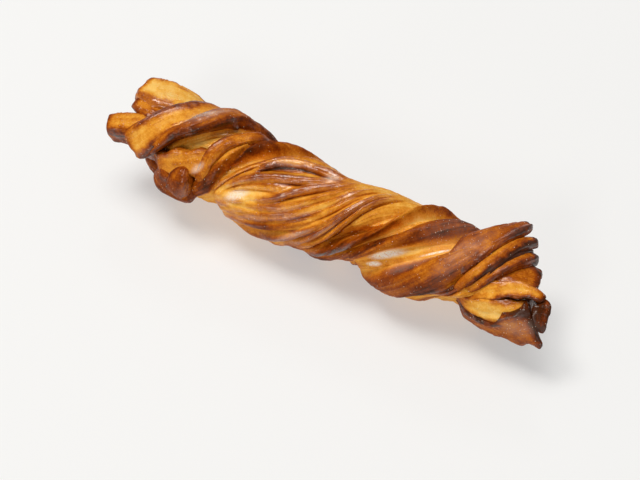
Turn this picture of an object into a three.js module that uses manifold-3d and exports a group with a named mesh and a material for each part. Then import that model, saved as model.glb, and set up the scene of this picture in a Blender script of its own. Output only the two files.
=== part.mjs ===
import * as THREE from 'three';
import Module from 'manifold-3d';

// A glazed twist of laminated puff pastry strips, in millimetres and degrees.
// +X runs along the twist and +Z is up. A place on the twist is given by its distance along the
// axis, its turn round the axis (0 is the top, 90 the front, which faces -Y) and its radius.

// Twisted body
const AXIS_HEIGHT = 20.5;
const BODY_START = -68;
const BODY_END = 80;
const CORE_RADIUS = 14.5;
const END_ROUNDING = 11;
const END_LEFT_OPEN = 0.95;
const FOLD_FULLNESS = 0.8;
const STRAND_BLEND = 5;
const LAYER_FLAT = 2;
const LAYER_LEAN = 0.25;
const STATIONS = 46;
const ROUND_POINTS = 64;

// Middle of the whole pastry on the axis lines above, moved to the origin at the end
const MIDDLE_ALONG = 7.04;
const MIDDLE_ACROSS = -0.5;

// Loose strips at the two ends, which sink into the body and grow slimmer at their roots
const STRIP_STATIONS = 9;
const STRIP_RING = 10;
const STRIP_SQUARENESS = 3.2;
const STRIP_BLUNT = 0.75;
const BLUNT_REACH = 3;
const ROOT_REACH = 7;
const ROOT_DEPTH = 2;
const ROOT_TAPER = 0.4;
const SIGHT_STEP = 0.5;

// The table that flattens the lowest folds
const TABLE_SIZE = 400;
const TABLE_DEPTH = 40;

const CRUST_COLOUR = 0xb9722c;

// How the grid of the body winds along the twist, so that it runs with the folds: [along, turn]
const WINDING = [
  [-68, 140], [-32, 18], [0, -33], [12, -63], [25, -122], [34, -153], [60, -233], [80, -314],
];

// Strands that wind round the whole body. A knot is [along, turn, half-width, rise].
const STRANDS = {
  broad: {
    flat: 3.2,
    knots: [
      [-66, 150, 20, 3], [-56, 112, 20, 3.2], [-48, 82, 20, 4.6], [-41, 43, 18, 6.2], [-35, 22, 17, 6.4],
      [-30, 5, 17, 6.2], [-23, -20, 12, 6], [-11, -64, 15, 4.8], [10, -145, 24, 6], [40, -255, 32, 6.2],
      [50, -283, 31, 6.4], [60, -311, 32, 6.2], [67, -339, 34, 6], [80, -402, 26, 5],
    ],
  },
  dark: {
    flat: 2.4,
    knots: [
      [-68, 58, 9, 5], [-60, 25, 10, 6], [-56, 5, 17, 6.6], [-52, -15, 24, 7], [-42, -52, 25, 7.4],
      [-10, -165, 22, 7], [20, -268, 14, 5], [35, -313, 12, 6], [42, -332, 14, 6.4], [50, -358, 22, 6.4],
      [58, -378, 22, 6.2], [70, -394, 10, 3],
    ],
  },
  crested: {
    flat: 2.2,
    knots: [
      [-72, 35, 18, 5], [-65, 9, 21, 6], [-57, -25, 25, 6.4], [-50, -62, 24, 6], [-20, -165, 20, 6],
      [0, -238, 14, 5.8], [18, -285, 10, 5.6], [30, -322, 9, 6], [38, -358, 9, 6], [50, -425, 9, 5.6],
      [66, -480, 10, 5.6], [80, -530, 10, 5],
    ],
  },
  fan: {
    flat: 7,
    knots: [
      [-68, 262, 80, 3.4], [-55, 215, 83, 3.4], [-40, 152, 90, 3.6], [-20, 83, 91, 4.2], [0, 13, 95, 3.8],
      [15, -30, 104, 3.4], [40, -123, 99, 3.4], [60, -193, 84, 3.4], [80, -272, 88, 3.4],
    ],
  },
};

// Ridges of single layers in front, in the order in which they fan out from the top downwards
const FRONT_LAYERS = [
  [[-46, 92, 7, 0], [-38, 62, 7, 2.2], [-24, 18, 7, 2.4], [-12, -14, 8, 2.2], [6, -66, 9, 0]],
  [[-26, 32, 8, 0], [-19, 14, 8, 3], [-8, -3, 8, 3.2], [4, -12, 8, 2.4], [18, -28, 7, 0]],
  [[-36, 68, 7, 0], [-28, 47, 8, 2.4], [-5, 14, 8, 2.8], [12, -5, 6, 1.8], [20, -28, 6, 0]],
  [
    [-37, 78, 7, 0], [-28, 70, 7, 2], [-18, 61, 7, 2.6], [-3, 30, 7, 2.6],
    [10, 5, 6, 2], [22, -32, 6, 0],
  ],
  [
    [-42, 112, 8, 0], [-33, 86, 8, 1.6], [-18, 76, 8, 2.8], [0, 50, 8, 2.6],
    [14, 12, 6, 2], [26, -36, 6, 0],
  ],
  [
    [-40, 150, 9, 0], [-27, 108, 9, 2.2], [-8, 83, 8, 3.2], [10, 47, 7, 2.6],
    [23, -5, 6, 2.2], [33, -48, 7, 0],
  ],
  [
    [-34, 168, 9, 0], [-22, 132, 9, 2.6], [-8, 99, 8, 3.4], [9, 57, 8, 3.2],
    [20, 14, 7, 2.6], [36, -66, 8, 0],
  ],
  [
    [-20, 162, 9, 0], [0, 106, 9, 2.8], [12, 64, 8, 3.2], [23, 2, 7, 2.6],
    [30, -36, 7, 1.4], [40, -76, 8, 0],
  ],
  [
    [-10, 150, 8, 0], [2, 115, 8, 1.8], [15, 68, 7, 2.4], [25, 12, 7, 2.4],
    [31, -20, 7, 1.2], [40, -56, 8, 0],
  ],
];

// Ridges of single layers behind and below
const BACK_LAYERS = [
  [[-64, 215, 12, 0], [-54, 185, 13, 2.4], [-44, 155, 12, 0]],
  [[-64, 245, 12, 0], [-50, 205, 13, 2.6], [-30, 158, 13, 0]],
  [[-64, 275, 12, 0], [-48, 230, 13, 2.6], [-25, 170, 13, 2.2], [-10, 140, 12, 0]],
  [[-2, -78, 12, 0], [10, -112, 13, 2.4], [40, -212, 13, 2.8], [58, -266, 12, 2.6], [74, -320, 10, 0]],
  [[8, -72, 12, 0], [20, -112, 13, 2.6], [40, -176, 13, 2.8], [60, -240, 12, 2.2], [76, -298, 10, 0]],
  [[20, -72, 12, 0], [32, -112, 13, 2.6], [60, -205, 12, 2.6], [78, -268, 10, 0]],
  [[30, -78, 11, 0], [44, -112, 12, 2.4], [60, -165, 12, 2.6], [78, -228, 10, 0]],
];

// Hollows: the crease under the broad strand, the notch below it, the crevice by the crest, two waists
const HOLLOWS = [
  [[-48, 84, 6, 0], [-40, 58, 6, -2.2], [-33, 32, 6, -2.2], [-26, 0, 6, -2], [-19, -24, 6, 0]],
  [[-60, 142, 16, 0], [-50, 128, 22, -3], [-42, 112, 20, -3], [-35, 98, 14, 0]],
  [[6, 98, 8, 0], [14, 74, 8, -2.2], [22, 48, 9, -2.8], [30, 33, 9, -2.2], [40, -10, 8, 0]],
  [[-10, -46, 24, 0], [8, -52, 32, -2.4], [24, -58, 24, 0]],
  [[53, 145, 28, 0], [58, 137, 34, -6], [63, 128, 44, -9], [70, 120, 54, -9.5], [80, 114, 60, -9]],
];

// Loose strips, each from its cut end to its root. A knot is [along, turn, radius, width, thickness]
// of the strip's middle. The tilt turns the flat face about the length of the strip.
const STRIPS = {
  leftUpperTab: {
    tilt: 0,
    knots: [
      [-86.6, -27, 16.8, 15, 7.5], [-77, -28, 17, 17, 8.5], [-66, -36, 16.4, 16, 8.5], [-55, -58, 13, 14, 8],
    ],
  },
  leftLowerTab: {
    tilt: -32,
    knots: [[-89.4, 54, 13, 9, 13], [-82, 44, 13.2, 10.5, 13], [-73, 34, 12.8, 11, 13], [-60, 14, 10, 10, 9]],
  },
  leftInnerDough: {
    tilt: 0,
    knots: [[-79, 20, 5, 17, 13], [-72, 20, 5, 18, 14], [-60, 20, 4, 18, 14]],
  },
  leftBackTab: {
    tilt: 0,
    knots: [[-79, 190, 10.5, 13, 6.5], [-70, 185, 11.5, 15, 8], [-58, 185, 10, 15, 8]],
  },
  leftCrossingRibbon: {
    tilt: 0,
    knots: [
      [-76.4, 61, 17.4, 12.5, 4.4], [-70.2, 39, 19, 13.5, 5], [-63.3, 14, 19.8, 13.6, 5],
      [-55.4, -7, 19.8, 16, 5], [-51, -25, 19.2, 16.5, 5], [-46, -55, 17.4, 15, 5],
    ],
  },
  leftRolledRidge: {
    tilt: 0,
    knots: [
      [-68.5, 60, 17.4, 3, 4], [-61, 30, 20.3, 4.8, 5.4], [-53.4, 8, 20.7, 6.8, 6],
      [-47.4, -25, 20.4, 10, 6.6], [-41, -65, 18, 11, 6.4], [-37, -88, 15, 10, 6],
    ],
  },
  leftInnerStrip: {
    tilt: 0,
    knots: [
      [-41, 34, 16, 12, 3], [-46, 40, 17.6, 12.5, 4], [-51, 46, 18, 12.5, 5], [-58, 55, 17.6, 11.5, 6],
      [-67.5, 68, 14.6, 9, 5.5],
    ],
  },
  curledTip: {
    tilt: 0,
    knots: [
      [-51.2, 53, 18, 6.5, 6], [-52.4, 63, 19, 9, 7.5], [-53.6, 78, 19, 10.5, 8.5],
      [-55.5, 96, 17.5, 11, 8.5], [-58, 115, 13.5, 10, 8],
    ],
  },
  foldUnderCurl: {
    tilt: 0,
    knots: [[-63.6, 78, 15, 8, 7], [-59, 85, 17, 11, 9], [-52, 88, 17.4, 12, 9], [-44, 80, 14.6, 11, 8]],
  },
  rightLongTip: {
    tilt: 0,
    knots: [
      [82, -46, 27, 4.4, 4], [77.6, -33, 23.4, 7.8, 4.8], [72, -14, 19.8, 10.5, 5.6],
      [68, 6, 17.6, 12, 6], [65, 28, 16.4, 11, 6], [62, 46, 15, 8, 5],
    ],
  },
  rightSecondFin: {
    tilt: 0,
    knots: [
      [85.8, -44, 22, 4.4, 4.4], [81.2, -24, 19.8, 6, 4.6], [77.2, 3, 17.6, 6, 4.6],
      [73.2, 32, 16.8, 5, 4.6], [69, 56, 16.4, 4, 4.4], [65.5, 74, 13.4, 3, 4],
    ],
  },
  rightThirdFin: {
    tilt: 0,
    knots: [
      [88.6, -38, 16.4, 4.6, 4.6], [84.8, -16, 15.8, 5, 5], [80.4, 12, 15.2, 4.8, 5],
      [76, 38, 14.8, 4.4, 5], [70.5, 62, 14.4, 3.8, 4.6], [67.5, 76, 12.2, 3.4, 4.4],
    ],
  },
  rightFlatSheet: {
    tilt: 0,
    knots: [[94.6, -8, 11.4, 11.5, 3], [88, 0, 12.4, 13, 3.6], [80, 10, 12, 14, 4.5], [72, 18, 8, 13, 4.5]],
  },
  tailUpperFold: {
    tilt: 0,
    knots: [
      [100.4, 25, 13.8, 4.5, 2.2], [94, 27, 15, 7.5, 2.6], [88, 33, 15.4, 9, 3],
      [82.5, 44, 14.8, 8.5, 3.4], [76, 58, 13.8, 6.5, 4], [69, 72, 13, 5, 4],
    ],
  },
  tailOuterFlap: {
    tilt: 0,
    knots: [
      [101.6, 78, 12.2, 5, 1.8], [101.6, 62, 12.8, 6.4, 1.8], [101, 46, 13.3, 6.6, 1.8],
      [100, 31, 13.4, 6, 1.8], [96, 19, 12, 4.5, 1.8],
    ],
  },
  tailInnerFold: {
    tilt: 0,
    knots: [
      [96, 46, 11.6, 5, 2.6], [91, 58, 13, 8, 3], [86.4, 67, 13.8, 9.5, 3.6],
      [80.5, 73, 13.8, 9, 4], [74, 77, 13.2, 7.5, 4.5], [67, 81, 12.4, 6, 4.5],
    ],
  },
  tailLowerStrip: {
    tilt: 0,
    knots: [
      [100.4, 72, 13.2, 18.5, 3], [96, 75, 13.6, 16, 3.8], [91, 85, 13.4, 13.5, 4.8],
      [84, 94, 12.8, 11.5, 6.2], [76, 96, 11.8, 10.5, 7], [67, 91, 10.4, 9, 7],
    ],
  },
  tailInnerDough: {
    tilt: 0,
    knots: [[95, 56, 6, 17, 11], [84, 56, 6, 17, 12], [72, 52, 4, 17, 12]],
  },
  tailBackStrip: {
    tilt: 0,
    knots: [[89, 205, 10, 12, 6], [80, 200, 11, 14, 7], [68, 195, 10, 14, 7]],
  },
};

const radians = THREE.MathUtils.degToRad;

// Value of one column of a knot list at a place along it, as a smooth curve through the knots
function follow(knots, along, column) {
  const last = knots.length - 1;
  if (along <= knots[0][0]) return knots[0][column];
  if (along >= knots[last][0]) return knots[last][column];
  let k = 0;
  while (along > knots[k + 1][0]) k += 1;
  const slope = (a, b) => (knots[b][column] - knots[a][column]) / (knots[b][0] - knots[a][0]);
  const span = knots[k + 1][0] - knots[k][0];
  const t = (along - knots[k][0]) / span;
  const rising = slope(Math.max(k - 1, 0), k + 1) * span;
  const leaving = slope(k, Math.min(k + 2, last)) * span;
  const step = t * t * (3 - 2 * t);
  const bend = t * (1 - t) * (rising * (1 - t) - leaving * t);
  return knots[k][column] * (1 - step) + knots[k + 1][column] * step + bend;
}

// Height of one fold over the body at a place. Its lean makes the lower side steeper.
function foldHeight(knots, flat, lean, along, turn) {
  const away = THREE.MathUtils.euclideanModulo(turn - follow(knots, along, 1) + 180, 360) - 180;
  const half = follow(knots, along, 2) * (away > 0 ? 1 - lean : 1 + lean);
  const across = Math.abs(away) / half;
  if (across >= 1) return 0;
  return follow(knots, along, 3) * (1 - across ** flat) ** FOLD_FULLNESS;
}

// Radius of the twisted body: the highest strand, then the single layers and the hollows
function bodyRadius(along, turn) {
  let strands = 0;
  for (const { knots, flat } of Object.values(STRANDS)) {
    strands += foldHeight(knots, flat, 0, along, turn) ** STRAND_BLEND;
  }
  let radius = CORE_RADIUS + strands ** (1 / STRAND_BLEND);
  for (const knots of [...FRONT_LAYERS, ...BACK_LAYERS]) {
    radius += foldHeight(knots, LAYER_FLAT, LAYER_LEAN, along, turn);
  }
  for (const knots of HOLLOWS) {
    radius += foldHeight(knots, LAYER_FLAT, 0, along, turn);
  }
  const intoStart = Math.max(0, BODY_START + END_ROUNDING - along);
  const intoEnd = Math.max(0, along - (BODY_END - END_ROUNDING));
  const into = (END_LEFT_OPEN * (intoStart + intoEnd)) / END_ROUNDING;
  return radius * Math.sqrt(1 - into * into);
}

function placeOf(along, turn, radius) {
  const angle = radians(turn);
  return new THREE.Vector3(along, -radius * Math.sin(angle), AXIS_HEIGHT + radius * Math.cos(angle));
}

// Closed surface over rows of rings, with a middle point at each end
function closedRings(rings, startPoint, endPoint) {
  const round = rings[0].length;
  const points = [startPoint, ...rings.flat(), endPoint];
  const endIndex = points.length - 1;
  const at = (row, column) => 1 + row * round + (column % round);
  const triangles = [];
  for (let column = 0; column < round; column += 1) {
    triangles.push(0, at(0, column + 1), at(0, column));
    for (let row = 0; row + 1 < rings.length; row += 1) {
      triangles.push(at(row, column), at(row, column + 1), at(row + 1, column));
      triangles.push(at(row, column + 1), at(row + 1, column + 1), at(row + 1, column));
    }
    triangles.push(endIndex, at(rings.length - 1, column), at(rings.length - 1, column + 1));
  }
  return { points, triangles };
}

function twistedBody() {
  const rings = [];
  for (let row = 0; row <= STATIONS; row += 1) {
    const along = THREE.MathUtils.lerp(BODY_START, BODY_END, row / STATIONS);
    const wound = follow(WINDING, along, 1);
    const ring = [];
    for (let column = 0; column < ROUND_POINTS; column += 1) {
      const turn = wound + (360 * column) / ROUND_POINTS;
      ring.push(placeOf(along, turn, bodyRadius(along, turn)));
    }
    rings.push(ring);
  }
  return closedRings(rings, placeOf(BODY_START, 0, 0), placeOf(BODY_END, 0, 0));
}

// A strip of dough with a rounded square section, its flat face turned away from the axis
function looseStrip({ tilt, knots }) {
  const stops = knots.map(([along, turn, radius]) => placeOf(along, turn, radius));
  let length = 0;
  const course = knots.map(([, , , width, thickness], k) => {
    if (k > 0) length += stops[k].distanceTo(stops[k - 1]);
    return [length, ...stops[k].toArray(), width, thickness];
  });
  const placeAt = (run) => new THREE.Vector3(...[1, 2, 3].map((column) => follow(course, run, column)));
  const rings = [];
  for (let row = 0; row <= STRIP_STATIONS; row += 1) {
    const run = (length * row) / STRIP_STATIONS;
    const middle = placeAt(run);
    const ahead = placeAt(run + SIGHT_STEP).sub(placeAt(run - SIGHT_STEP)).normalize();
    const outward = new THREE.Vector3(0, middle.y, middle.z - AXIS_HEIGHT);
    const sideways = new THREE.Vector3().crossVectors(outward, ahead).normalize();
    outward.crossVectors(ahead, sideways).normalize();
    const root = THREE.MathUtils.smoothstep(run, length - ROOT_REACH, length);
    middle.addScaledVector(outward, -ROOT_DEPTH * root);
    outward.applyAxisAngle(ahead, radians(tilt));
    sideways.applyAxisAngle(ahead, radians(tilt));
    const blunt = THREE.MathUtils.lerp(STRIP_BLUNT, 1, THREE.MathUtils.smoothstep(run, 0, BLUNT_REACH));
    const fullness = blunt * (1 - ROOT_TAPER * root);
    const halfWidth = (fullness * follow(course, run, 4)) / 2;
    const halfThickness = (fullness * follow(course, run, 5)) / 2;
    const ring = [];
    for (let column = 0; column < STRIP_RING; column += 1) {
      const angle = (2 * Math.PI * column) / STRIP_RING;
      const squared = (value) => Math.sign(value) * Math.abs(value) ** (2 / STRIP_SQUARENESS);
      const point = middle.clone();
      point.addScaledVector(sideways, halfWidth * squared(Math.cos(angle)));
      point.addScaledVector(outward, halfThickness * squared(Math.sin(angle)));
      ring.push(point);
    }
    rings.push(ring);
  }
  const ends = [rings[0], rings[STRIP_STATIONS]].map((ring) => {
    const sum = ring.reduce((total, point) => total.add(point), new THREE.Vector3());
    return sum.divideScalar(STRIP_RING);
  });
  return closedRings(rings, ends[0], ends[1]);
}

const wasm = await Module();
wasm.setup();

function solidOf({ points, triangles }) {
  const vertProperties = new Float32Array(points.flatMap((point) => point.toArray()));
  const triVerts = new Uint32Array(triangles);
  return new wasm.Manifold(new wasm.Mesh({ numProp: 3, vertProperties, triVerts }));
}

// A flat slab under the resting plane
function tableSolid() {
  const half = TABLE_SIZE / 2;
  const levels = [-TABLE_DEPTH, 0];
  const rings = levels.map((level) => [
    new THREE.Vector3(-half, -half, level),
    new THREE.Vector3(half, -half, level),
    new THREE.Vector3(half, half, level),
    new THREE.Vector3(-half, half, level),
  ]);
  const middles = levels.map((level) => new THREE.Vector3(0, 0, level));
  return solidOf(closedRings(rings, middles[0], middles[1]));
}

// The outer skin alone, so that a pocket shut in between two strips is filled with dough
function outerSkin(triVerts, vertexCount) {
  const owner = Uint32Array.from({ length: vertexCount }, (unused, vertex) => vertex);
  const rootOf = (vertex) => {
    let root = vertex;
    while (owner[root] !== root) root = owner[root];
    owner[vertex] = root;
    return root;
  };
  for (let corner = 0; corner < triVerts.length; corner += 3) {
    owner[rootOf(triVerts[corner + 1])] = rootOf(triVerts[corner]);
    owner[rootOf(triVerts[corner + 2])] = rootOf(triVerts[corner]);
  }
  const skins = new Map();
  for (let corner = 0; corner < triVerts.length; corner += 3) {
    const root = rootOf(triVerts[corner]);
    if (!skins.has(root)) skins.set(root, []);
    skins.get(root).push(triVerts[corner], triVerts[corner + 1], triVerts[corner + 2]);
  }
  return [...skins.values()].sort((a, b) => b.length - a.length)[0];
}

function pastryGeometry() {
  let pastry = solidOf(twistedBody());
  for (const strip of Object.values(STRIPS)) {
    pastry = pastry.add(solidOf(looseStrip(strip)));
  }
  const { vertProperties, numProp, triVerts } = pastry.subtract(tableSolid()).getMesh();
  const geometry = new THREE.BufferGeometry();
  geometry.setAttribute('position', new THREE.BufferAttribute(vertProperties, numProp));
  geometry.setIndex(outerSkin(triVerts, vertProperties.length / numProp));
  geometry.translate(-MIDDLE_ALONG, -MIDDLE_ACROSS, 0);
  geometry.computeVertexNormals();
  return geometry;
}

const crust = new THREE.MeshStandardMaterial({ color: CRUST_COLOUR, roughness: 0.4, metalness: 0 });
const pastry = new THREE.Mesh(pastryGeometry(), crust);
pastry.name = 'pastry';

const group = new THREE.Group();
group.add(pastry);

export default group;
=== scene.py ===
"""A glazed twist of laminated puff pastry strips, dressed for a studio picture."""

import itertools
import math

import bpy
import numpy as np
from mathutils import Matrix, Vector


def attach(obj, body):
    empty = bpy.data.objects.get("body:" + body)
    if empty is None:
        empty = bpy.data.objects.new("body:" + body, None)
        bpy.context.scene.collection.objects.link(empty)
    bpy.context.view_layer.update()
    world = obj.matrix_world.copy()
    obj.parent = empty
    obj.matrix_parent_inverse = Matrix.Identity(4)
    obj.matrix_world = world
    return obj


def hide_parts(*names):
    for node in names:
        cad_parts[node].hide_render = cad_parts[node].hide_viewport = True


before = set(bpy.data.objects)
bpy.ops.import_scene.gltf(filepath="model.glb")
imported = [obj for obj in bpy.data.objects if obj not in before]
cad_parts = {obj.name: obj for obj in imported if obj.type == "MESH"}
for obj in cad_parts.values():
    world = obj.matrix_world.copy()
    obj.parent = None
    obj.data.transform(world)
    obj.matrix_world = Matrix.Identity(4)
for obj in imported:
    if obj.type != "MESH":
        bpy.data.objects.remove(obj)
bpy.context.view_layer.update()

# Lengths below are millimetres and angles degrees, as in the solid part.
# A place on the twist is its distance along the axis, its turn round it (0 top, 90 front) and radius.
MM = 0.001
AXIS_HEIGHT = 20.5
BODY_START = -68
BODY_END = 80
CORE_RADIUS = 14.5
END_ROUNDING = 11
END_LEFT_OPEN = 0.95
FOLD_FULLNESS = 0.8
STRAND_BLEND = 5
HOLLOW_FLAT = 2
EDGE_REACH = 4.4
EDGE_DROP = 1.2
EDGE_ROUNDING = 2.1
EDGE_OVERHANG = 0.45
EDGE_FULL = 2.4
# Width of the painted shade in the step below a crest
FOOT_SHADE_WIDTH = 0.7
EDGE_HOLLOW = 1.2
LAYER_RADIUS = CORE_RADIUS + 4
ROOT_REACH = 7
ROOT_DEPTH = 2
ROOT_TAPER = 0.4
# How dark a strip is painted where it sinks into the body, as painted shade
ROOT_SHADE_TONE = 0.66
MIDDLE = np.array([7.04, -0.5, 0])

# Sugar crystals: how many on a square millimetre where strewn and where thick, and their size
GRAIN_SEED = 7
GRAINS_STREWN = 0.05
GRAINS_THICK = 2.2
GRAIN_SIZE = (0.1, 0.22)
GRAIN_SIDES = (0.7, 1)
GRAIN_OUTWARD = 0.3

# Fineness of the dressed surface
STATIONS = 300
ROUND_POINTS = 400
STRIP_STATIONS = 60
STRIP_RING = 48
CAP_ROWS = 8
STRIP_SQUARENESS = 2.7
SHEET_STEP = 3.4

# Heights between which the glaze, brushed on from above, grows to its full thickness
GLAZE_FROM = 4
GLAZE_FULL = 24

# How far the bake departs from its middle brown
MIDDLE_BROWN = 0.45
BAKE_CONTRAST = 1.26
BAKED_LONGER = 0.05

# How the surface grid winds along the twist, so that it runs with the folds: [along, turn]
WINDING = [
    [-68, 140], [-32, 18], [0, -33], [12, -63], [25, -122], [34, -153], [60, -233], [80, -314],
]

# Strands that wind round the whole body: [along, turn, half-width, rise], with how brown they are
STRANDS = {
    "broad": dict(flat=3.2, tone=0.52, knots=[
        [-66, 150, 20, 3], [-56, 112, 20, 3.2], [-47, 90, 22, 4.4], [-41, 58, 30, 5.8],
        [-38.6, 46, 32, 6], [-36, 24, 18, 6.3], [-30, 2, 14, 6.2], [-23, -20, 12, 6],
        [-11, -64, 15, 4.8], [10, -145, 24, 6], [40, -255, 32, 6.2], [50, -283, 31, 6.4],
        [60, -311, 32, 6.2], [67, -339, 34, 6], [80, -402, 26, 5],
    ]),
    "dark": dict(flat=2.4, tone=0.66, knots=[
        [-68, 58, 9, 5], [-60, 25, 10, 6], [-56, 5, 17, 6.6], [-52, -15, 24, 7], [-42, -52, 25, 7.4],
        [-10, -165, 22, 6.4], [20, -268, 14, 3.2], [35, -313, 12, 5.6], [42, -332, 14, 6.4],
        [50, -358, 22, 6.4], [58, -378, 22, 6.2], [70, -394, 10, 3],
    ]),
    "crested": dict(flat=2.2, tone=0.56, knots=[
        [-72, 35, 18, 5], [-65, 9, 21, 6], [-57, -25, 25, 6.4], [-50, -62, 24, 6], [-20, -165, 20, 6],
        [0, -238, 14, 3.2], [18, -285, 11, 4.6], [30, -322, 10, 6], [38, -358, 9, 6], [50, -425, 9, 5.6],
        [66, -480, 10, 5.6], [80, -530, 10, 5],
    ]),
    "fan": dict(flat=7, tone=0.2, knots=[
        [-68, 262, 80, 3.4], [-55, 215, 83, 3.4], [-40, 152, 90, 3.6], [-20, 83, 91, 4.2], [0, 13, 95, 3.8],
        [15, -30, 104, 3.4], [40, -123, 99, 3.4], [60, -193, 84, 3.4], [80, -272, 88, 3.4],
    ]),
}

# Edges of the thin layers in front, from the top downwards: [along, turn, rise]
FRONT_EDGES = [
    [[-54, 18, 0], [-50, 5, 1], [-46, -8, 1.4], [-42, -19, 1.5], [-38, -32, 1.5], [-33, -52, 0]],
    [[-52, 24, 0], [-47, 10, 0.9], [-43, -4, 1.2], [-39, -18, 1.4], [-35, -34, 1.2], [-31, -50, 0]],
    [[-54, 34, 0], [-48, 22, 1], [-43, 8, 1.2], [-39, -6, 1.2], [-35, -22, 1], [-31, -38, 0]],
    [[-48, 34, 0], [-43, 22, 1], [-39, 9, 1.1], [-35, -6, 0.8], [-32, -18, 0]],
    [
        [-38, 76, 0], [-35.5, 60, 1.4], [-32, 45, 2], [-27, 27, 2.4], [-20, 8, 2.4], [-8, -15, 2],
        [4, -36, 0],
    ],
    [[-25, 30, 0], [-20, 18, 2.8], [-13, 4, 3.2], [-5, -5, 3.2], [4, -9, 2.6], [10, -10, 2], [16, -16, 0]],
    [
        [-34, 64, 0], [-28, 47, 2.2], [-20, 34, 2.6], [-10, 23, 2.6], [0, 11, 2.2], [10, -3, 1.6],
        [18, -20, 0],
    ],
    [[-31, 60, 0], [-26, 51, 1], [-20, 43, 1.4], [-13, 37.5, 1.4], [-6, 33, 0.6], [-3, 32, 0]],
    [
        [-24, 69, 0], [-17, 59, 1.8], [-12, 51, 2.2], [-4, 32, 2.4], [3, 17, 2.2], [12, -2, 1.6],
        [19, -20, 0],
    ],
    [
        [-38, 79, 0], [-33, 75, 1.4], [-27, 71.5, 1.8], [-20, 68, 2], [-9, 58, 2.4], [-2, 46, 2.4],
        [6, 26, 2.2], [14, 4, 1.8], [22, -24, 0],
    ],
    [
        [-37, 86, 0], [-32, 82, 1.6], [-26, 79.5, 2], [-15, 74, 2.2], [-5, 61, 2.2], [5, 42, 2],
        [13, 18, 1.8], [20, -8, 1.4], [25, -28, 0],
    ],
    [[-36, 98, 0], [-30, 89, 1.6], [-18, 82, 2], [-7, 70, 2], [3, 56, 1.8], [12, 34, 1.6], [22, -12, 0]],
    [[-36, 110, 0], [-28, 97, 2], [-15, 89, 2.4], [-5, 77, 2.2], [5, 60, 1.6], [11, 45, 0]],
    [
        [-30, 140, 0], [-20, 120, 2], [-12, 106, 2.6], [-4, 92, 2.8], [3, 75, 2.8], [12, 50, 2.4],
        [18, 28, 2.2], [24, 0, 1.8], [29, -25, 1], [33, -44, 0],
    ],
    [
        [-18, 142, 0], [-8, 120, 2], [3, 90, 2.4], [10, 67, 2.4], [15, 47, 2.4], [20, 22, 2.2],
        [26, -8, 1.6], [32, -38, 0],
    ],
    [[-8, 132, 0], [2, 105, 2], [12, 75, 2.2], [18, 47.5, 2.2], [24, 15, 2], [30, -14, 1.4], [36, -42, 0]],
    [[2, 128, 0], [9, 104, 1.6], [16, 84, 2], [22, 68, 1.6], [27, 58, 0]],
    [[40, 120, 0], [52, 100, 1], [60, 84, 1.4], [66, 68, 1.6], [71, 48, 1.4], [75, 20, 1.2], [77, 0, 0]],
]

# Layer edges behind and below: turn off the winding, size of rise. They sway from side to side and
# fade out away from the turn given.
BACK_EDGES = [
    [12, 2.2], [33, 1.6], [49, 2.4], [72, 1.8], [95, 2.5], [111, 1.4], [134, 2.2], [158, 2.6], [176, 1.6],
    [199, 2.3], [221, 1.8], [240, 2.5], [262, 1.5], [281, 2.2], [304, 2.5], [322, 1.7], [343, 2.3],
]
BACK_TURN = 234
BACK_HALF_TURN = 30
BACK_FADE = 30
BACK_RISE = 0.8
SWAY_TURN = 9
SWAY_LENGTH = 17
SWAY_LENGTHS = 5
SWAY_SHIFT = 2.1

# Hollows: the crease under the broad strand, the notch below it, the crevice by the crest, two waists
HOLLOWS = [
    [
        [-40, 100, 10, 0], [-37, 80, 8, -2.4], [-36.4, 58, 7, -2.4], [-35.2, 34, 6, -2.4],
        [-32.2, 15, 6, -2.2], [-29, -8, 6, -1.8], [-25, -30, 6, 0],
    ],
    [[-60, 142, 16, 0], [-50, 128, 22, -3], [-42, 112, 22, -4.5], [-37, 104, 18, -4], [-31, 112, 14, 0]],
    [[6, 98, 8, 0], [14, 74, 8, -2.2], [22, 48, 9, -2.8], [30, 33, 9, -2.2], [40, -10, 8, 0]],
    [[-10, -46, 24, 0], [8, -52, 32, -2.4], [24, -58, 24, 0]],
    [[53, 145, 28, 0], [58, 137, 34, -6], [63, 128, 44, -9], [70, 120, 54, -9.5], [80, 114, 60, -9]],
]

# How far the lower front of the body reaches out: [along, radius], measured towards one turn
LOWER_TURN = 126
LOWER_LINE = [
    [-60, 17], [-46, 15], [-40, 13.4], [-37, 14], [-33, 17.4], [-27, 20.6], [-14, 21.8], [-2, 19.3],
    [9, 18.3], [17, 15.5], [22, 13], [24, 13], [28, 16.4], [33, 18.1], [41, 20.3], [47, 20.3],
    [52, 17.2], [57, 13.8], [61, 11.6], [64, 11.6], [80, 11.6],
]
LOWER_REACH = 60
LOWER_SOFTNESS = 12
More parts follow.
